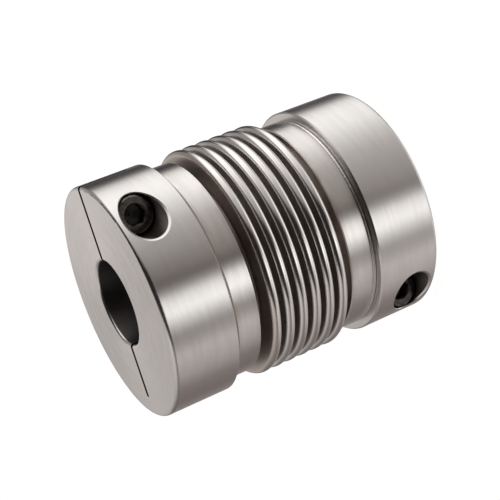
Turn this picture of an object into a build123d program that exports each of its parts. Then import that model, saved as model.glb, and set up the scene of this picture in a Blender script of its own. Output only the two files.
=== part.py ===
"""Clamp-type bellows shaft coupling, in millimetres.

Two stainless steel clamp hubs are joined by a thin corrugated bellows. Each hub is turned from bar: a slit
flange that a cap screw closes on the shaft, and a smaller spigot that carries the plain cuff of the bellows.
A collar is pressed over the cuff and welded to the flange all round.

The coupling stands on the end face of its lower hub. The origin is the centre of that face and +Z runs along
the shaft axis. The upper end is the lower end turned half a turn about Y, so both screws are driven from -Y,
the lower hub's slit opens towards -X and the upper hub's towards +X.
"""

from build123d import *
import math
import os

# Whole coupling
outer_diameter = 65.0
overall_length = 81.0

# Hubs
bore_diameter = 24.0
flange_length = 18.6
spigot_length = 7.8
end_rounding = 1.0
shoulder_chamfer = 0.35
mouth_rounding = 0.8
bore_chamfer = 0.3

# Clamp slit, sawn in from the end face: open on one side of the bore, blind on the other
slit_width = 1.2
slit_depth = 14.0
relief_wall = 5.6

# Clamp screw, an M6 x 20 socket head cap screw, and its holes
thread_diameter = 6.0
screw_length = 20.0
head_diameter = 10.0
head_height = 6.0
head_fillet = 0.6
key_width = 5.0
key_depth = 3.0
tip_chamfer = 0.8
side_inset = 9.5
rim_land = 0.15
seat_offset = 10.3
counterbore_clearance = 0.5
shank_clearance = 0.3
rim_chamfer = 0.5

# Bellows: its crests lie just inside the flanges' outer diameter
crest_inset = 0.05
convolution_depth = 6.95
wall_thickness = 0.3
pitch = 4.1
crest_width = 2.7
shortest_plain_run = 1.5

# Collars and their weld
collar_inset = 2.3
collar_chamfer = 0.3
bead_width = 0.9
groove_depth = 0.25
fit_gap = 0.02

# Worked out from the sizes above
outer_radius = outer_diameter / 2
bore_radius = bore_diameter / 2
relief_reach = outer_radius - relief_wall
screw_offset = outer_radius - side_inset
counterbore_radius = head_diameter / 2 + counterbore_clearance
end_inset = end_rounding + rim_land + rim_chamfer + counterbore_radius
hub_length = flange_length + spigot_length
crest_radius = outer_radius - crest_inset
root_radius = crest_radius - convolution_depth
spigot_radius = root_radius - wall_thickness - fit_gap
collar_radius = outer_radius - collar_inset
collar_bore_radius = root_radius + fit_gap
beyond = 1.0

# As many convolutions as the space between the collars takes
convolution_space = overall_length - 2 * (hub_length + shortest_plain_run)
convolution_count = int(convolution_space / pitch)

# The screw's own plane: on the head's seat, at the screw's axis, with +Z out through the head
screw_plane = Plane(origin=(-screw_offset, -seat_offset, end_inset), x_dir=(1, 0, 0), z_dir=(0, -1, 0))
on_seat = (Align.CENTER, Align.CENTER, Align.MIN)
under_seat = (Align.CENTER, Align.CENTER, Align.MAX)


def turned(outline):
    """A solid turned from a closed outline of (radius, height) points."""
    with BuildPart() as blank:
        with BuildSketch(Plane.XZ):
            with BuildLine():
                Polyline(*outline, close=True)
            make_face()
        revolve(axis=Axis.Z)
    return blank.part


def hub():
    """The lower hub: flange, spigot, bore, slit and screw holes in one turned and milled piece."""
    outline = [
        (bore_radius, 0),
        (outer_radius, 0),
        (outer_radius, flange_length - shoulder_chamfer),
        (outer_radius - shoulder_chamfer, flange_length),
        (spigot_radius, flange_length),
        (spigot_radius, hub_length),
        (bore_radius + bore_chamfer, hub_length),
        (bore_radius, hub_length - bore_chamfer),
    ]
    with BuildPart() as body:
        add(turned(outline))
        # Both edges of the end face are rounded
        end_edges = body.edges().filter_by(GeomType.CIRCLE).group_by(Axis.Z)[0].sort_by(SortBy.RADIUS)
        fillet(end_edges[-1], end_rounding)
        fillet(end_edges[0], mouth_rounding)
        # Counterbore for the head, with its mouth broken by a small chamfer
        with Locations(screw_plane):
            Cylinder(counterbore_radius, outer_radius, align=on_seat, mode=Mode.SUBTRACT)
        curved_edges = body.edges().filter_by(GeomType.LINE, reverse=True)
        chamfer(curved_edges.sort_by(Axis.Y)[0], rim_chamfer)
        # Clearance hole down to the slit, then the tapped hole out through the far ear
        with Locations(screw_plane):
            Cylinder(
                thread_diameter / 2 + shank_clearance, seat_offset, align=under_seat, mode=Mode.SUBTRACT
            )
            Cylinder(
                thread_diameter / 2, seat_offset + outer_radius, align=under_seat, mode=Mode.SUBTRACT
            )
        # One saw cut makes the open slit and the blind relief slit across the bore
        with Locations((relief_reach, 0, slit_depth)):
            Box(
                relief_reach + outer_radius + beyond,
                slit_width,
                slit_depth + beyond,
                align=(Align.MAX, Align.CENTER, Align.MAX),
                mode=Mode.SUBTRACT,
            )
    return body.part


def collar():
    """The lower collar: a plain ring with the weld bead lying in a groove against the flange."""
    groove_radius = collar_radius - groove_depth
    bead_top = flange_length + bead_width
    with BuildPart() as ring:
        with BuildSketch(Plane.XZ):
            with BuildLine():
                ThreePointArc(
                    (groove_radius, flange_length),
                    (collar_radius, flange_length + bead_width / 2),
                    (groove_radius, bead_top),
                )
                Polyline(
                    (groove_radius, bead_top),
                    (collar_radius, bead_top + groove_depth),
                    (collar_radius, hub_length - collar_chamfer),
                    (collar_radius - collar_chamfer, hub_length),
                    (collar_bore_radius, hub_length),
                    (collar_bore_radius, flange_length),
                    (groove_radius, flange_length),
                )
            make_face()
        revolve(axis=Axis.Z)
    return ring.part


def clamp_screw():
    """The lower clamp screw, head on its seat: a socket head cap screw drawn at its thread's full size."""
    with BuildPart() as screw:
        with Locations(screw_plane):
            Cylinder(head_diameter / 2, head_height, align=on_seat)
        curved_edges = screw.edges().filter_by(GeomType.LINE, reverse=True)
        fillet(curved_edges.sort_by(Axis.Y)[0], head_fillet)
        with Locations(screw_plane):
            Cylinder(thread_diameter / 2, screw_length, align=under_seat)
        curved_edges = screw.edges().filter_by(GeomType.LINE, reverse=True)
        chamfer(curved_edges.sort_by(Axis.Y)[-1], tip_chamfer)
        with BuildSketch(screw_plane.offset(head_height)):
            RegularPolygon(key_width / math.sqrt(3), 6)
        extrude(amount=-key_depth, mode=Mode.SUBTRACT)
    return screw.part


def wall_line(depth):
    """Draws one face of the bellows' wall, lying depth inside its outer face, from cuff end to cuff end.

    Every tip is half a circle and every flank is straight. The crests are rounder outside than inside by
    the wall, and the roots the other way about, so that the wall keeps its thickness all along.
    """
    crest_tip = crest_width / 2 - depth
    root_tip = (pitch - crest_width) / 2 + depth
    root_line = root_radius - depth
    root_centre = root_line + root_tip
    crest_centre = crest_radius - depth - crest_tip
    middle = overall_length / 2
    corrugated = convolution_count * pitch
    first_root = middle - corrugated / 2
    diagonal = math.sqrt(0.5)
    Line((root_line, flange_length + fit_gap), (root_line, first_root))
    for index in range(convolution_count):
        root_below = first_root + index * pitch
        crest = root_below + pitch / 2
        root_above = root_below + pitch
        ThreePointArc(
            (root_line, root_below),
            (root_centre - root_tip * diagonal, root_below + root_tip * diagonal),
            (root_centre, root_below + root_tip),
        )
        Line((root_centre, root_below + root_tip), (crest_centre, crest - crest_tip))
        ThreePointArc(
            (crest_centre, crest - crest_tip),
            (crest_centre + crest_tip, crest),
            (crest_centre, crest + crest_tip),
        )
        Line((crest_centre, crest + crest_tip), (root_centre, root_above - root_tip))
        ThreePointArc(
            (root_centre, root_above - root_tip),
            (root_centre - root_tip * diagonal, root_above - root_tip * diagonal),
            (root_line, root_above),
        )
    Line((root_line, first_root + corrugated), (root_line, overall_length - flange_length - fit_gap))


def bellows():
    """One thin tube, hydroformed into deep round convolutions between two plain cuffs."""
    with BuildPart() as tube:
        with BuildSketch(Plane.XZ):
            with BuildLine():
                wall_line(0)
                wall_line(wall_thickness)
                for cuff_end in (flange_length + fit_gap, overall_length - flange_length - fit_gap):
                    Line((root_radius, cuff_end), (root_radius - wall_thickness, cuff_end))
            make_face()
        revolve(axis=Axis.Z)
    return tube.part


def upper(piece):
    """The same piece at the upper end: half a turn about Y, raised by the coupling's length."""
    return Pos(0, 0, overall_length) * Rot(0, 180, 0) * piece


os.makedirs("parts", exist_ok=True)
for name, piece in (("hub", hub()), ("collar", collar()), ("clamp_screw", clamp_screw())):
    export_step(piece, f"parts/lower_{name}.step")
    export_step(upper(piece), f"parts/upper_{name}.step")
export_step(bellows(), "parts/bellows.step")
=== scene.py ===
import math

import bpy
import numpy as np
from mathutils import Matrix, Vector


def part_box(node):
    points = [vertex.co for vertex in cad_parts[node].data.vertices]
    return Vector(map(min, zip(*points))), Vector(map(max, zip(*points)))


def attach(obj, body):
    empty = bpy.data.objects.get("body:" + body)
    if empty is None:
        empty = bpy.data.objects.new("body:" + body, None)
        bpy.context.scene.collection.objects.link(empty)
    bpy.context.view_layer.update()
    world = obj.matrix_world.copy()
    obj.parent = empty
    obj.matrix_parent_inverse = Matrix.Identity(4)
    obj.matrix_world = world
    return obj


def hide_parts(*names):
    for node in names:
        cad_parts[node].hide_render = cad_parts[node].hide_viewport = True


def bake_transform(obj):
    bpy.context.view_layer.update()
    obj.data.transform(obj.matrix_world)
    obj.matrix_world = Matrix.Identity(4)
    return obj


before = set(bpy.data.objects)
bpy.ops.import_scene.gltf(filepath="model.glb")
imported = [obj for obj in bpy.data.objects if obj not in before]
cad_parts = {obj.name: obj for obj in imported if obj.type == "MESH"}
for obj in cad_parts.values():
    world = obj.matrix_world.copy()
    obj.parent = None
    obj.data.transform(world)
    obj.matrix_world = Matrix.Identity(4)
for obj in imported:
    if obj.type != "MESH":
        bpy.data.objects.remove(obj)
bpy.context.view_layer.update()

# ---------------------------------------------------------------------------------------------------------
# Camera. It looks down at the upper hub's end face and is rolled, so that the standing coupling is seen
# lying across the frame with that face to the left.
view_azimuth = math.radians(12.85)
view_elevation = math.radians(22.48)
view_roll = math.radians(-112.29)
view_distance = 0.35712
aim = Vector((-0.00023, -0.00024, 0.04005))

camera = bpy.data.objects.new("camera", bpy.data.cameras.new("camera"))
camera.data.lens = 93.1
camera.data.sensor_width = 36.0
camera.data.clip_start = 0.01
camera.data.clip_end = 20.0
turn = (
    Matrix.Rotation(view_azimuth, 3, "Z")
    @ Matrix.Rotation(math.pi / 2 - view_elevation, 3, "X")
    @ Matrix.Rotation(view_roll, 3, "Z")
)
camera.rotation_euler = turn.to_euler()
camera.location = aim + turn @ Vector((0, 0, view_distance))
bpy.context.collection.objects.link(camera)
bpy.context.scene.camera = camera
bpy.context.scene.view_settings.view_transform = "Standard"


# ---------------------------------------------------------------------------------------------------------
# Studio. Soft lights, grey walls and black cards stand in a ring round the coupling, and its steel shows
# them as bands along its length. Each band is an azimuth from the camera's own, in degrees, and a level.
light_ring = (
    (-180, (0.50, 0.48, 0.47)),
    (-155, (0.28, 0.25, 0.24)),
    (-135, (0.22, 0.19, 0.18)),
    (-112, (0.29, 0.25, 0.24)),
    (-92, (0.55, 0.51, 0.50)),
    (-70, (0.76, 0.72, 0.70)),
    (-57, (0.46, 0.43, 0.41)),
    (-49, (0.40, 0.38, 0.37)),
    (-40, (0.90, 0.89, 0.88)),
    (-28, (1.82, 1.81, 1.80)),
    (-16, (1.42, 1.41, 1.40)),
    (-8, (0.40, 0.38, 0.37)),
    (-1, (0.10, 0.08, 0.07)),
    (10, (0.28, 0.25, 0.23)),
    (30, (0.40, 0.38, 0.36)),
    (50, (0.60, 0.58, 0.57)),
    (68, (0.98, 0.97, 0.95)),
    (85, (1.36, 1.35, 1.34)),
    (104, (1.40, 1.39, 1.38)),
    (119, (1.20, 1.19, 1.18)),
    (127, (0.80, 0.78, 0.77)),
    (133, (0.12, 0.11, 0.11)),
    (149, (0.03, 0.03, 0.03)),
    (156, (0.12, 0.11, 0.11)),
    (166, (0.42, 0.40, 0.39)),
    (180, (0.50, 0.48, 0.47)),
)
black_card = (0.02, 0.018, 0.017)
side_wall_grey = (0.32, 0.305, 0.295)
far_ground = (0.50, 0.48, 0.465)
near_ground = (1.10, 1.09, 1.07)
white = (1.0, 1.0, 1.0)
warm_shares = (("Red", 1.0), ("Green", 0.95), ("Blue", 0.932))


def reckon(operation, *values):
    """One step of arithmetic on outputs and numbers, in the tree that the outputs are in."""
    tree = next(value.id_data for value in values if not isinstance(value, (int, float)))
    step = tree.nodes.new("ShaderNodeMath")
    step.operation = operation
    for socket, value in zip(step.inputs, values):
        if isinstance(value, (int, float)):
            socket.default_value = value
        else:
            tree.links.new(value, socket)
    return step.outputs["Value"]


def product(*masks):
    """Masks multiplied."""
    total = masks[0]
    for mask in masks[1:]:
        total = reckon("MULTIPLY", total, mask)
    return total


def ramp(value, low, high, bottom=0.0, top=1.0, interpolation="LINEAR"):
    """A straight ramp: bottom where the value is at low, top where it is at high."""
    tree = value.id_data
    slope = tree.nodes.new("ShaderNodeMapRange")
    slope.interpolation_type = interpolation
    for label, number in (("From Min", low), ("From Max", high), ("To Min", bottom), ("To Max", top)):
        slope.inputs[label].default_value = number
    tree.links.new(value, slope.inputs["Value"])
    return slope.outputs["Result"]


def edge(value, low, high, bottom=0.0, top=1.0):
    """The same ramp with soft ends."""
    return ramp(value, low, high, bottom, top, "SMOOTHSTEP")


def toned(value, stops):
    """A colour by value. Each stop is a position from 0 to 1 and a colour."""
    tree = value.id_data
    tones = tree.nodes.new("ShaderNodeValToRGB")
    elements = tones.color_ramp.elements
    for index, (position, colour) in enumerate(stops):
        stop = elements[index] if index < 2 else elements.new(position)
        stop.position = position
        stop.color = (*colour, 1)
    tree.links.new(value, tones.inputs["Fac"])
    return tones.outputs["Color"]


def laid_over(mask, under, over):
    """A colour, a number or another output's colour, laid over what is under it where the mask is 1."""
    tree = mask.id_data
    mix = tree.nodes.new("ShaderNodeMix")
    # The node has sockets of its own for each kind of value, and only their places tell them apart
    if isinstance(over, float):
        mix.data_type, low_place, high_place, out_place = "FLOAT", 2, 3, 0
    else:
        mix.data_type, low_place, high_place, out_place = "RGBA", 6, 7, 2
    tree.links.new(mask, mix.inputs[0])
    tree.links.new(under, mix.inputs[low_place])
    if isinstance(over, float):
        mix.inputs[high_place].default_value = over
    elif isinstance(over, tuple):
        mix.inputs[high_place].default_value = (*over, 1)
    else:
        tree.links.new(over, mix.inputs[high_place])
    return mix.outputs[out_place]


room = bpy.data.worlds.new("studio_room")
bpy.context.scene.world = room
room.use_nodes = True
nodes, links = room.node_tree.nodes, room.node_tree.links
nodes.clear()
place = nodes.new("ShaderNodeTexCoord")
facing = nodes.new("ShaderNodeVectorRotate")
facing.rotation_type = "Z_AXIS"
facing.inputs["Angle"].default_value = math.pi / 2 - view_azimuth
links.new(place.outputs["Generated"], facing.inputs["Vector"])
direction = nodes.new("ShaderNodeSeparateXYZ")
links.new(facing.outputs["Vector"], direction.inputs["Vector"])
to_camera, to_side, up = direction.outputs


def patch(side_degrees, up_degrees, reach_degrees, softness_degrees, inside=1.0, outside=0.0):
    """A round patch of directions, centred on an azimuth and elevation."""
    side, rise = math.radians(side_degrees), math.radians(up_degrees)
    along = nodes.new("ShaderNodeVectorMath")
    along.operation = "DOT_PRODUCT"
    along.inputs[1].default_value = (
        math.cos(rise) * math.cos(side), math.cos(rise) * math.sin(side), math.sin(rise)
    )
    links.new(facing.outputs["Vector"], along.inputs[0])
    outer = math.cos(math.radians(reach_degrees + softness_degrees))
    inner = math.cos(math.radians(reach_degrees - softness_degrees))
    return edge(along.outputs["Value"], outer, inner, outside, inside)


def warm(level):
    """A brightness made a faintly warm grey."""
    grey = nodes.new("ShaderNodeCombineColor")
    for channel, share in warm_shares:
        links.new(reckon("MULTIPLY", level, share), grey.inputs[channel])
    return grey.outputs["Color"]


around = ramp(reckon("ARCTAN2", to_side, to_camera), -math.pi, math.pi)
light = toned(around, [((degrees + 180) / 360, level) for degrees, level in light_ring])

# Overhead all is black, but for the tall light on one side, a dim wall beyond it, the far wall, which is
# brighter towards that light, and a wide round light on the other side, which is brighter upwards. The
# ground is grey, and bright under the camera. The camera itself sees white all round.
overhead = product(edge(up, -0.28, 0.0), patch(68, 0, 49, 9, inside=0.0, outside=1.0))
light = laid_over(overhead, light, black_card)
side_wall = product(patch(136, 22, 25, 8), edge(up, -0.05, 0.12))
light = laid_over(side_wall, light, side_wall_grey)
round_light = product(patch(-119, 18, 55, 4), edge(up, -0.25, 0.05))
light = laid_over(round_light, light, warm(edge(up, 0.1, 0.95, bottom=0.22, top=0.80)))
far_wall = product(patch(177, 6, 31, 5), edge(up, -0.15, 0.10))
far_level = product(
    edge(to_side, -0.10, 0.05, bottom=0.54, top=0.76), edge(to_side, 0.42, 0.20, bottom=0.55, top=1.0)
)
light = laid_over(far_wall, light, warm(far_level))
light = laid_over(edge(up, -0.48, -0.70), light, far_ground)
near_side = product(edge(up, -0.62, -0.80), edge(to_camera, -0.05, 0.20))
light = laid_over(near_side, light, near_ground)
ray = nodes.new("ShaderNodeLightPath")
light = laid_over(ray.outputs["Is Camera Ray"], light, white)
glow = nodes.new("ShaderNodeBackground")
links.new(light, glow.inputs["Color"])
world_out = nodes.new("ShaderNodeOutputWorld")
links.new(glow.outputs["Background"], world_out.inputs["Surface"])

# The floor is a white sheet, so bright that little of the coupling's shadow shows on it
floor_half = 1.5
sheet_grey = 0.35
sheet_glow = 0.92
sheet = bpy.data.meshes.new("floor")
corners = [(side * floor_half, ahead * floor_half, 0) for side, ahead in ((-1, -1), (1, -1), (1, 1), (-1, 1))]
sheet.from_pydata(corners, [], [(0, 1, 2, 3)])
floor = bpy.data.objects.new("floor", sheet)
bpy.context.collection.objects.link(floor)
floor.visible_glossy = False
floor.visible_shadow = False

white_sheet = bpy.data.materials.new("white_sheet")
white_sheet.use_nodes = True
nodes, links = white_sheet.node_tree.nodes, white_sheet.node_tree.links
nodes.clear()
paper = nodes.new("ShaderNodeBsdfDiffuse")
paper.inputs["Color"].default_value = (sheet_grey, sheet_grey, sheet_grey, 1)
shine = nodes.new("ShaderNodeEmission")
ray = nodes.new("ShaderNodeLightPath")
links.new(reckon("MULTIPLY", ray.outputs["Is Camera Ray"], sheet_glow), shine.inputs["Strength"])
both = nodes.new("ShaderNodeAddShader")
links.new(paper.outputs["BSDF"], both.inputs[0])
links.new(shine.outputs["Emission"], both.inputs[1])
sheet_out = nodes.new("ShaderNodeOutputMaterial")
links.new(both.outputs["Shader"], sheet_out.inputs["Surface"])
sheet.materials.append(white_sheet)


# ---------------------------------------------------------------------------------------------------------
# Hubs. Each is one piece of stainless steel, turned all over, bored, sawn and drilled. The tool leaves fine
# rings round the axis, on the sides and the end faces alike, and they draw every reflection out across them.
half_length = 0.0405

# Where the masks of the recesses end: each takes in the wall it is for and a little more, or stops a little
# short of the wall beyond. Heights are from the coupling's middle, and a sawn face's normal lies along Y.
bore_wall = 0.01203
outside_wall = 0.03245
counterbore_wall = 0.00556
seat_height = -0.0101
screw_inset = 0.023
screw_rise = 0.03335
sawn_half_width = 0.00063
# Half the width of the painted shade along the slits' edges on the end faces
slit_shade_half_width = 0.0008
open_slit_bottom = 0.0265
blind_slit_end = 0.0271
end_face_start = 0.0395
cut_facing = 0.95


def own_place(tree):
    """The object's own coordinates in a tree: all the node's outputs, then X, Y and Z."""
    place = tree.nodes.new("ShaderNodeTexCoord")
    split = tree.nodes.new("ShaderNodeSeparateXYZ")
    tree.links.new(place.outputs["Object"], split.inputs["Vector"])
    return place.outputs, *split.outputs


def placed(group, tree, *settings):
    """A node group's node in a tree, with its inputs set in their order."""
    node = tree.nodes.new("ShaderNodeGroup")
    node.node_tree = group
    for socket, number in zip(node.inputs, settings):
        socket.default_value = number
    return node.outputs


# The grain is noise, stretched along the rings. Its first axis is radius plus height, so that the rings run
# on over the edges, and the other two are the heading round the axis.
turned_grain = bpy.data.node_groups.new("turned_grain", "ShaderNodeTree")
for label, way in (("Rings per metre", "INPUT"), ("Breaks per turn", "INPUT"), ("Height", "OUTPUT")):
    turned_grain.interface.new_socket(label, in_out=way, socket_type="NodeSocketFloat")
nodes, links = turned_grain.nodes, turned_grain.links
given = nodes.new("NodeGroupInput")
place, x, y, z = own_place(turned_grain)
flat = nodes.new("ShaderNodeCombineXYZ")
links.new(x, flat.inputs["X"])
links.new(y, flat.inputs["Y"])
radius = nodes.new("ShaderNodeVectorMath")
radius.operation = "LENGTH"
links.new(flat.outputs["Vector"], radius.inputs[0])
heading = nodes.new("ShaderNodeVectorMath")
heading.operation = "NORMALIZE"
links.new(flat.outputs["Vector"], heading.inputs[0])
breaks = nodes.new("ShaderNodeVectorMath")
breaks.operation = "SCALE"
links.new(heading.outputs["Vector"], breaks.inputs[0])
links.new(given.outputs["Breaks per turn"], breaks.inputs["Scale"])
break_parts = nodes.new("ShaderNodeSeparateXYZ")
links.new(breaks.outputs["Vector"], break_parts.inputs["Vector"])
rings = reckon("MULTIPLY", reckon("ADD", radius.outputs["Value"], z), given.outputs["Rings per metre"])
spread = nodes.new("ShaderNodeCombineXYZ")
links.new(rings, spread.inputs["X"])
links.new(break_parts.outputs["X"], spread.inputs["Y"])
links.new(break_parts.outputs["Y"], spread.inputs["Z"])
grain = nodes.new("ShaderNodeTexNoise")
grain.inputs["Scale"].default_value = 1.0
grain.inputs["Detail"].default_value = 2.0
links.new(spread.outputs["Vector"], grain.inputs["Vector"])
result = nodes.new("NodeGroupOutput")
links.new(grain.outputs["Fac"], result.inputs["Height"])


def turned_steel(name, tint, roughness, rings_per_metre, breaks_per_turn, grain_depth, patchiness):
    """Bare steel with a turned grain: reflections are drawn out across the rings, along the axis.

    Broader streaks of the same grain, a quarter as many to the metre, shift its tint and gloss a little.
    """
    steel = bpy.data.materials.new(name)
    steel.use_nodes = True
    tree = steel.node_tree
    shader = tree.nodes["Principled BSDF"]
    shader.inputs["Metallic"].default_value = 1.0
    shader.inputs["Anisotropic"].default_value = 0.75
    shader.inputs["Anisotropic Rotation"].default_value = 0.25
    round_axis = tree.nodes.new("ShaderNodeTangent")
    round_axis.direction_type = "RADIAL"
    round_axis.axis = "Z"
    tree.links.new(round_axis.outputs["Tangent"], shader.inputs["Tangent"])
    grooves = placed(turned_grain, tree, rings_per_metre, breaks_per_turn)["Height"]
    relief = tree.nodes.new("ShaderNodeBump")
    relief.inputs["Strength"].default_value = 1.0
    relief.inputs["Distance"].default_value = grain_depth
    tree.links.new(grooves, relief.inputs["Height"])
    tree.links.new(relief.outputs["Normal"], shader.inputs["Normal"])
    streaks = placed(turned_grain, tree, rings_per_metre / 4, breaks_per_turn / 3)["Height"]
    darker = tuple(part * (1 - patchiness) for part in tint)
    lighter = tuple(part * (1 + patchiness) for part in tint)
    tree.links.new(toned(streaks, ((0.3, darker), (0.7, lighter))), shader.inputs["Base Color"])
    tree.links.new(ramp(streaks, 0.0, 1.0, roughness * 1.1, roughness * 0.9), shader.inputs["Roughness"])
    return steel


def laid_within(steel, label, mask, over):
    """A colour or number laid over whatever feeds one of the shader's inputs now, where the mask is 1."""
    socket = steel.node_tree.nodes["Principled BSDF"].inputs[label]
    steel.node_tree.links.new(laid_over(mask, socket.links[0].from_socket, over), socket)


def below(value, limit):
    """A mask of 1 where the value is under the limit."""
    return reckon("LESS_THAN", value, limit)


def above(value, limit):
    """A mask of 1 where the value is over the limit."""
    return reckon("GREATER_THAN", value, limit)


def hypotenuse(first, second):
    """The length of two offsets at right angles: the root of the sum of their squares."""
    squares = reckon("ADD", reckon("MULTIPLY", first, first), reckon("MULTIPLY", second, second))
    return reckon("SQRT", squares)


def dressed(names, steel):
    """The solids of these names in a material of this script."""
    for name in names:
        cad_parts[name].data.materials.clear()
        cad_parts[name].data.materials.append(steel)


# In the hubs the bore is painted dark, a painted shade, and made rougher. The slits' sawn faces, and a narrow
# margin along their edges on the end faces, are painted near black, a painted shade. The end mill leaves the
# counterbores dull, and they are painted darker as well, a painted shade. Both hubs share the masks, which
# mirror about the coupling's middle: the screw and the open slit of each hub stand where x and the height
# from the middle have the same sign.
recesses = bpy.data.node_groups.new("hub_recesses", "ShaderNodeTree")
for label in ("Bore", "Slit", "Counterbore", "From screw"):
    recesses.interface.new_socket(label, in_out="OUTPUT", socket_type="NodeSocketFloat")
place, x, y, z = own_place(recesses)
facing_parts = recesses.nodes.new("ShaderNodeSeparateXYZ")
recesses.links.new(place["Normal"], facing_parts.inputs["Vector"])
from_axis = hypotenuse(x, y)
sideways = reckon("ABSOLUTE", x)
from_cut = reckon("ABSOLUTE", y)
height = reckon("SUBTRACT", z, half_length)
from_middle = reckon("ABSOLUTE", height)
same_side = above(reckon("MULTIPLY", x, height), 0.0)
on_cut = above(reckon("ABSOLUTE", facing_parts.outputs["Y"]), cut_facing)
# Painted shade: the slits' sawn faces, painted near black
sawn = product(on_cut, below(from_cut, sawn_half_width))
open_slit = product(same_side, above(from_middle, open_slit_bottom))
both_slits = product(below(sideways, blind_slit_end), above(from_middle, end_face_start))
# Painted shade: a narrow margin along each slit's edges on the end faces, painted near black
slit_edge_shade = product(below(from_cut, slit_shade_half_width), reckon("MAXIMUM", open_slit, both_slits))
from_screw = hypotenuse(
    reckon("SUBTRACT", sideways, screw_inset), reckon("SUBTRACT", from_middle, screw_rise)
)
# The counterbore: rougher from the end mill, and painted darker, a painted shade
counterbore_dull_and_shaded = product(
    below(from_screw, counterbore_wall), below(y, seat_height), below(from_axis, outside_wall), same_side
)
result = recesses.nodes.new("NodeGroupOutput")
recesses.links.new(below(from_axis, bore_wall), result.inputs["Bore"])
recesses.links.new(reckon("MAXIMUM", sawn, slit_edge_shade), result.inputs["Slit"])
recesses.links.new(counterbore_dull_and_shaded, result.inputs["Counterbore"])
recesses.links.new(from_screw, result.inputs["From screw"])

hub_steel = turned_steel("hub_steel", (0.69, 0.667, 0.65), 0.26, 2500.0, 9.0, 0.000008, 0.025)
where = placed(recesses, hub_steel.node_tree)
# Painted shade: the bore's wall is painted dark
laid_within(hub_steel, "Base Color", where["Bore"], (0.21, 0.193, 0.185))
laid_within(hub_steel, "Roughness", where["Bore"], 0.40)
# Painted shade in the slits and along their edges
laid_within(hub_steel, "Base Color", where["Slit"], (0.05, 0.045, 0.04))
laid_within(hub_steel, "Roughness", where["Counterbore"], 0.45)
# Painted shade: the counterbore's wall is painted darker
laid_within(hub_steel, "Base Color", where["Counterbore"], (0.36, 0.325, 0.305))
# The bore is reamed, so its wall carries no turned grain
grooves = hub_steel.node_tree.nodes["Bump"].inputs["Height"]
turned = reckon("SUBTRACT", 1.0, where["Bore"])
hub_steel.node_tree.links.new(product(grooves.links[0].from_socket, turned), grooves)
dressed(("lower_hub", "upper_hub"), hub_steel)


# ---------------------------------------------------------------------------------------------------------
# Collars. Turned rings of the same steel, each welded to its hub by a narrow bead that lies in a groove.
# Heights are from the coupling's middle, and the bead is the part of a collar that lies farthest from it.
groove_start = 0.0207
bead_start = 0.0210
bead_foot = 0.0218
collar_middle = 0.0176

collar_steel = turned_steel("collar_steel", (0.67, 0.642, 0.618), 0.24, 2500.0, 9.0, 0.000010, 0.04)
nodes, links = collar_steel.node_tree.nodes, collar_steel.node_tree.links
shader = nodes["Principled BSDF"]
place, x, y, z = own_place(collar_steel.node_tree)
from_middle = reckon("ABSOLUTE", reckon("SUBTRACT", z, half_length))
on_bead = above(from_middle, bead_start)
# The bead's ripples follow one another round the axis, a few to the millimetre
ripples = placed(turned_grain, collar_steel.node_tree, 700.0, 90.0)["Height"]
ripple = nodes.new("ShaderNodeBump")
ripple.inputs["Distance"].default_value = 0.00025
links.new(reckon("MULTIPLY", on_bead, 0.35), ripple.inputs["Strength"])
links.new(ripples, ripple.inputs["Height"])
links.new(shader.inputs["Normal"].links[0].from_socket, ripple.inputs["Normal"])
links.new(ripple.outputs["Normal"], shader.inputs["Normal"])
# The weld's heat has left brownish blotches, most of them near the bellows and beside the bead
blotches = nodes.new("ShaderNodeTexNoise")
blotches.inputs["Scale"].default_value = 110.0
blotches.inputs["Detail"].default_value = 3.0
links.new(place["Object"], blotches.inputs["Vector"])
near_ends = ramp(reckon("ABSOLUTE", reckon("SUBTRACT", from_middle, collar_middle)), 0.0015, 0.0036, top=0.75)
stained = product(near_ends, edge(blotches.outputs["Fac"], 0.42, 0.62))
laid_within(collar_steel, "Base Color", stained, (0.52, 0.46, 0.42))
# The bead is painted light, a painted highlight, between two dark lines where it sinks into its groove, a
# painted shade.
laid_within(collar_steel, "Base Color", on_bead, (0.88, 0.855, 0.83))
beside_bead = product(above(from_middle, groove_start), below(from_middle, bead_start))
groove_shade = reckon("MAXIMUM", beside_bead, above(from_middle, bead_foot))
# Painted shade: dark lines in the groove beside the bead and next to the hub's flange
laid_within(collar_steel, "Base Color", groove_shade, (0.38, 0.34, 0.315))
dressed(("lower_collar", "upper_collar"), collar_steel)


# ---------------------------------------------------------------------------------------------------------
# Bellows. One tube of thin stainless sheet, hydroformed into round convolutions. It is drawn as two halves
# that meet at the bottom of the middle root.
wall = 0.0003
pitch = 0.0041
crest_width = 0.0027
convolution_depth = 0.00695
convolutions = 6
turns_round = 288
arc_steps = 9
bellows_low, bellows_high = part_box("bellows")
middle_height = (bellows_low[2] + bellows_high[2]) / 2
crest_radius = bellows_high[0]
cuff_low = bellows_low[2]


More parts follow.
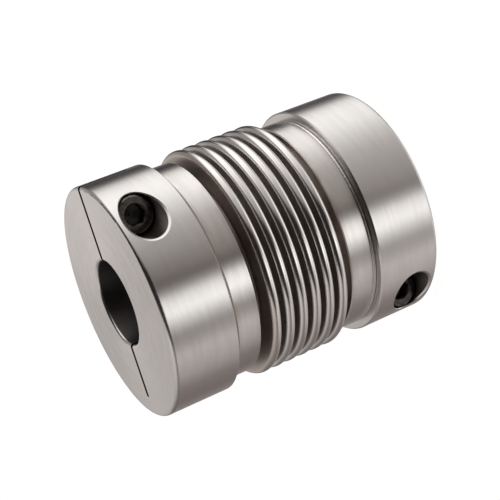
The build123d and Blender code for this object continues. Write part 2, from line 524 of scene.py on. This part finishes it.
def wall_face(depth):
    """Radius and height along one face of the lower half of the wall, lying depth inside its outer face.

    From the cuff's end: a straight cuff, then for each convolution a quarter turn of the root's tip, a
    flank, half a turn over the crest, a flank and the root's next quarter, up to the middle root.
    """
    crest_tip = crest_width / 2 - depth
    root_tip = (pitch - crest_width) / 2 + depth
    root_line = crest_radius - convolution_depth - depth
    crest_centre = crest_radius - depth - crest_tip
    root_centre = root_line + root_tip
    quarter = np.linspace(0, np.pi / 2, arc_steps)
    half = np.linspace(-np.pi / 2, np.pi / 2, 2 * arc_steps)
    lift = pitch * np.arange(convolutions // 2)[:, None]
    first_root = middle_height - pitch * convolutions / 2
    radii = np.concatenate((
        root_centre - root_tip * np.cos(quarter),
        crest_centre + crest_tip * np.cos(half),
        root_centre - root_tip * np.cos(quarter[::-1]),
    ))
    heights = np.concatenate((
        root_tip * np.sin(quarter),
        pitch / 2 + crest_tip * np.sin(half),
        pitch - root_tip * np.sin(quarter[::-1]),
    ))
    wave = np.stack((np.tile(radii, convolutions // 2), (first_root + lift + heights).ravel()), axis=1)
    return np.concatenate(([[root_line, cuff_low]], wave))


def revolved(section, steps):
    """A closed shell: each corner (radius, height) of a closed section goes once round the Z axis."""
    angle = np.linspace(0, 2 * np.pi, steps, endpoint=False)
    points = np.stack(
        (
            section[:, None, 0] * np.cos(angle),
            section[:, None, 0] * np.sin(angle),
            np.repeat(section[:, None, 1], steps, axis=1),
        ),
        axis=-1,
    ).reshape(-1, 3)
    row = np.arange(len(section))[:, None] * steps
    next_row = (np.arange(len(section))[:, None] + 1) % len(section) * steps
    column = np.arange(steps)
    beside = (column + 1) % steps
    faces = np.stack((row + column, row + beside, next_row + beside, next_row + column), axis=-1)
    return points, faces.reshape(-1, 4).tolist()


def added(name, points, faces, material):
    """A new smooth piece of these points and faces."""
    mesh = bpy.data.meshes.new(name)
    mesh.from_pydata(points.tolist(), [], faces)
    mesh.polygons.foreach_set("use_smooth", np.ones(len(mesh.polygons), dtype=bool))
    mesh.materials.append(material)
    piece = bpy.data.objects.new(name, mesh)
    bpy.context.collection.objects.link(piece)
    return piece


bellows_steel = turned_steel("bellows_steel", (0.78, 0.752, 0.73), 0.20, 3000.0, 6.0, 0.000003, 0.04)
bellows_steel.node_tree.nodes["Principled BSDF"].inputs["Anisotropic"].default_value = 0.3

# The valleys are duller than the crests, and painted darker, a painted shade. The weld's heat has browned the
# two end flanks, and the gaps between them and the collars are painted darker still, a painted shade.
heat_start = 0.0106
heat_full = 0.0116
place, x, y, z = own_place(bellows_steel.node_tree)
from_axis = hypotenuse(x, y)
from_middle = reckon("ABSOLUTE", reckon("SUBTRACT", z, middle_height))
deep = edge(from_axis, crest_radius - 0.0003, crest_radius - 0.0020)
heated = edge(from_middle, heat_start, heat_full)
# Painted shade: the valleys are painted darker
laid_within(bellows_steel, "Base Color", deep, (0.66, 0.61, 0.575))
laid_within(bellows_steel, "Roughness", deep, 0.38)
laid_within(bellows_steel, "Base Color", heated, (0.60, 0.53, 0.48))
# Painted shade: the deep parts of the end flanks, in the gaps beside the collars, painted darker still
gap_shade = product(edge(from_axis, crest_radius - 0.0002, crest_radius - 0.0026), heated)
laid_within(bellows_steel, "Base Color", gap_shade, (0.42, 0.37, 0.34))

lower_section = np.concatenate((wall_face(0.0), wall_face(wall)[::-1]))
upper_section = lower_section[::-1] * (1, -1) + (0, 2 * middle_height)
for name, section in (("lower_bellows", lower_section), ("upper_bellows", upper_section)):
    half = added(name, *revolved(section, turns_round), bellows_steel)
    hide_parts("bellows")
    if name == "lower_bellows":
        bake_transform(half)
    else:
        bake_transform(half)


# ---------------------------------------------------------------------------------------------------------
# Clamp screws. M6 x 20 socket head cap screws of alloy steel, forged and rolled, then blackened: a knurled
# head with a hexagon socket, and a thread along the whole shank. Each is driven from the -Y side.
pole_radius = 0.0001
head_radius = 0.005
head_height = 0.006
head_fillet = 0.0006
foot_chamfer = 0.0003
foot_height = 0.0006
knurl_teeth = 72
knurl_depth = 0.00012
knurl_fade = 0.0002
key_apothem = 0.0025
key_depth = 0.003
key_mouth_radius = 0.00305
key_mouth_slope = 0.8
drill_radius = 0.0021
drill_depth = 0.0009
thread_radius = 0.003
thread_depth = 0.0005
thread_pitch = 0.001
thread_steepness = 1.3
thread_flat = 0.15
thread_steps = 48
shank_length = 0.02
shank_root = 0.0002
shank_rings = 162
tip_chamfer = 0.0008
tapped_start = 0.0006
tapped_end = 0.0293
tapped_rings = 72
tapped_cover = 0.00006
sharp_degrees = 32


def wrapped(radii, heights, centre, tube=False):
    """A closed shell round an axis along Y: one ring for each row of radii, at that row's heights.

    A point at angle a and height h stands at (x + r cos a, y - h, z + r sin a), so that heights grow towards
    the driver's side. The first and last rings are closed by a flat face each, or joined to make a tube.
    """
    radii, heights = np.broadcast_arrays(radii, heights)
    steps = radii.shape[1]
    angle = np.linspace(0, 2 * np.pi, steps, endpoint=False)
    points = np.stack(
        (
            centre[0] + radii * np.cos(angle),
            centre[1] - heights,
            centre[2] + radii * np.sin(angle),
        ),
        axis=-1,
    ).reshape(-1, 3)
    row = np.arange(len(radii) - 1)[:, None] * steps
    column = np.arange(steps)
    beside = (column + 1) % steps
    faces = np.stack((row + column, row + steps + column, row + steps + beside, row + beside), axis=-1)
    last = (len(radii) - 1) * steps
    if tube:
        ends = np.stack((last + column, column, beside, last + beside), axis=-1).tolist()
    else:
        ends = [list(range(steps)), list(range(last + steps - 1, last - 1, -1))]
    return points, faces.reshape(-1, 4).tolist() + ends


def rolled_thread(heights):
    """Radius of the thread: along the axis it falls and rises evenly between crest and root each pitch.

    The crests and roots are flats, because the even slope is steepened and then cut off on both sides.
    """
    angle = np.linspace(0, 2 * np.pi, thread_steps, endpoint=False)
    phase = (heights / thread_pitch + angle / (2 * np.pi)) % 1
    slope = np.abs(2 * phase - 1) * thread_steepness - thread_flat
    return thread_radius - thread_depth * np.clip(slope, 0, 1)


def cap_screw(centre):
    """Points and faces of a screw's head and of its threaded shank, with the head's seat at the centre.

    The head's rings run from the drill point in the socket up the key's flats, over the rounded rim, down the
    knurl and in under the foot. At angle a the hexagon's radius is its apothem over the cosine of the angle
    to the nearest flat, and every third step of the knurl is cut in.
    """
    steps = 3 * knurl_teeth
    angle = np.linspace(0, 2 * np.pi, steps, endpoint=False)
    one = np.ones(steps)
    hexagon = key_apothem / np.cos((angle + np.pi / 6) % (np.pi / 3) - np.pi / 6)
    knurled = head_radius - knurl_depth * (np.arange(steps) % 3 == 0)
    curve = np.linspace(0, np.pi / 2, 6)[:, None]
    key_bottom = head_height - key_depth
    fillet_bottom = head_height - head_fillet
    radii = np.vstack((
        pole_radius * one,
        drill_radius * one,
        hexagon,
        hexagon,
        key_mouth_radius * one,
        (head_radius - head_fillet + head_fillet * np.sin(curve)) * one,
        knurled,
        knurled,
        head_radius * one,
        (head_radius - foot_chamfer) * one,
        pole_radius * one,
    ))
    heights = np.vstack((
        (key_bottom - drill_depth) * one,
        key_bottom * one,
        key_bottom * one,
        head_height - (key_mouth_radius - hexagon) * key_mouth_slope,
        head_height * one,
        (fillet_bottom + head_fillet * np.cos(curve)) * one,
        (fillet_bottom - knurl_fade) * one,
        (foot_height + knurl_fade) * one,
        foot_height * one,
        0.0 * one,
        0.0 * one,
    ))
    head_points, head_faces = wrapped(radii, heights, centre)
    along = np.linspace(shank_root, -shank_length, shank_rings)[:, None]
    tip = thread_radius - tip_chamfer + np.maximum(along + shank_length, 0)
    radii = np.minimum(rolled_thread(along), tip)
    shank_points, shank_faces = wrapped(radii[::-1], along[::-1], centre)
    shank_faces = [[point + len(head_points) for point in face] for face in shank_faces]
    return np.concatenate((head_points, shank_points)), head_faces + shank_faces


def tapped_thread(centre):
    """Points and faces of the thread in a hub's tapped hole, beyond the screw's tip.

    It is a sleeve: its inside is the thread, and its outside lies just within the wall of the plain hole.
    """
    along = np.linspace(-shank_length + tapped_start, -tapped_end, tapped_rings)[:, None]
    cover = np.full((1, thread_steps), thread_radius + tapped_cover)
    radii = np.vstack((cover, rolled_thread(along), cover))
    return wrapped(radii, np.vstack((along[:1], along, along[-1:])), centre, tube=True)


black_oxide = bpy.data.materials.new("black_oxide")
black_oxide.use_nodes = True
nodes, links = black_oxide.node_tree.nodes, black_oxide.node_tree.links
shader = nodes["Principled BSDF"]
shader.inputs["Metallic"].default_value = 0.75
place, x, y, z = own_place(black_oxide.node_tree)
mottle = nodes.new("ShaderNodeTexNoise")
mottle.inputs["Scale"].default_value = 900.0
mottle.inputs["Detail"].default_value = 3.0
links.new(place["Object"], mottle.inputs["Vector"])
oxide = toned(mottle.outputs["Fac"], ((0.35, (0.030, 0.026, 0.024)), (0.70, (0.085, 0.075, 0.068))))
links.new(oxide, shader.inputs["Base Color"])
links.new(ramp(mottle.outputs["Fac"], 0.0, 1.0, 0.22, 0.45), shader.inputs["Roughness"])
# The rim of the head, where the knurl and the rounding meet, is lighter and glossier: the oxide's wear there,
# and a painted highlight
from_screw = placed(recesses, black_oxide.node_tree)["From screw"]
wear_and_highlight = product(ramp(from_screw, 0.0043, 0.0048), ramp(mottle.outputs["Fac"], 0.38, 0.55))
laid_within(black_oxide, "Base Color", wear_and_highlight, (0.24, 0.215, 0.20))
laid_within(black_oxide, "Roughness", wear_and_highlight, 0.24)
pits = nodes.new("ShaderNodeBump")
pits.inputs["Strength"].default_value = 0.6
pits.inputs["Distance"].default_value = 0.00004
links.new(mottle.outputs["Fac"], pits.inputs["Height"])
links.new(pits.outputs["Normal"], shader.inputs["Normal"])

for end in ("lower", "upper"):
    low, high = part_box(f"{end}_clamp_screw")
    seat = ((low[0] + high[0]) / 2, high[1] - shank_length, (low[2] + high[2]) / 2)
    screw = added(f"{end}_socket_screw", *cap_screw(seat), black_oxide)
    screw.data.set_sharp_from_angle(angle=math.radians(sharp_degrees))
    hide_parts(f"{end}_clamp_screw")
    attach(screw, f"{end}_end")
    thread = added(f"{end}_tapped_thread", *tapped_thread(seat), hub_steel)
    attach(thread, f"{end}_end")
